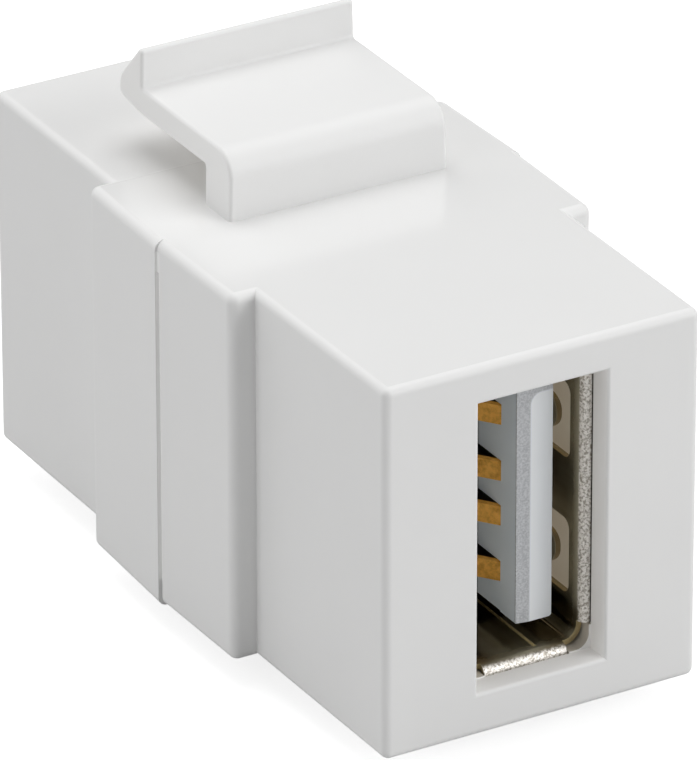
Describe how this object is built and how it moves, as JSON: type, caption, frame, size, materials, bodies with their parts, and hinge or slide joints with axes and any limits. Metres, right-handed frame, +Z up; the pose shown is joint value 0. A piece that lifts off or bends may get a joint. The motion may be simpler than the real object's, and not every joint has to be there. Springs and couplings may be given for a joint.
{
  "type": "usb keystone coupler",
  "caption": "White snap-in coupler for a keystone panel opening, with a USB type A socket at each end, a springy latch on top and a fixed lug below.",
  "frame": {"origin": "on the plane between the two case halves, midway across, at the level of the lug's crest, the lowest point", "axes": "+Y from the near port along the coupler to the port with the latch and lug, +Z up towards the latch, +X to the right seen from the near port"},
  "size_m": [0.017, 0.032, 0.0222],
  "materials": {
    "housing": "white, semi-gloss moulded",
    "shell": "nickel-plated sheet, smooth",
    "insulator": "pale grey, matte moulded",
    "contact": "gold-plated strip",
    "board": "green solder mask",
    "solder": "bright tin solder"
  },
  "bodies": {
    "root": {"front_housing": "housing", "rear_housing": "housing", "front_shell": "shell", "front_insulator": "insulator", "front_contact_1": "contact", "front_contact_2": "contact", "front_contact_3": "contact", "front_contact_4": "contact", "front_solder_joints": "solder", "rear_shell": "shell", "rear_insulator": "insulator", "rear_contact_1": "contact", "rear_contact_2": "contact", "rear_contact_3": "contact", "rear_contact_4": "contact", "rear_solder_joints": "solder", "circuit_board": "board"}
  },
  "joints": []
}
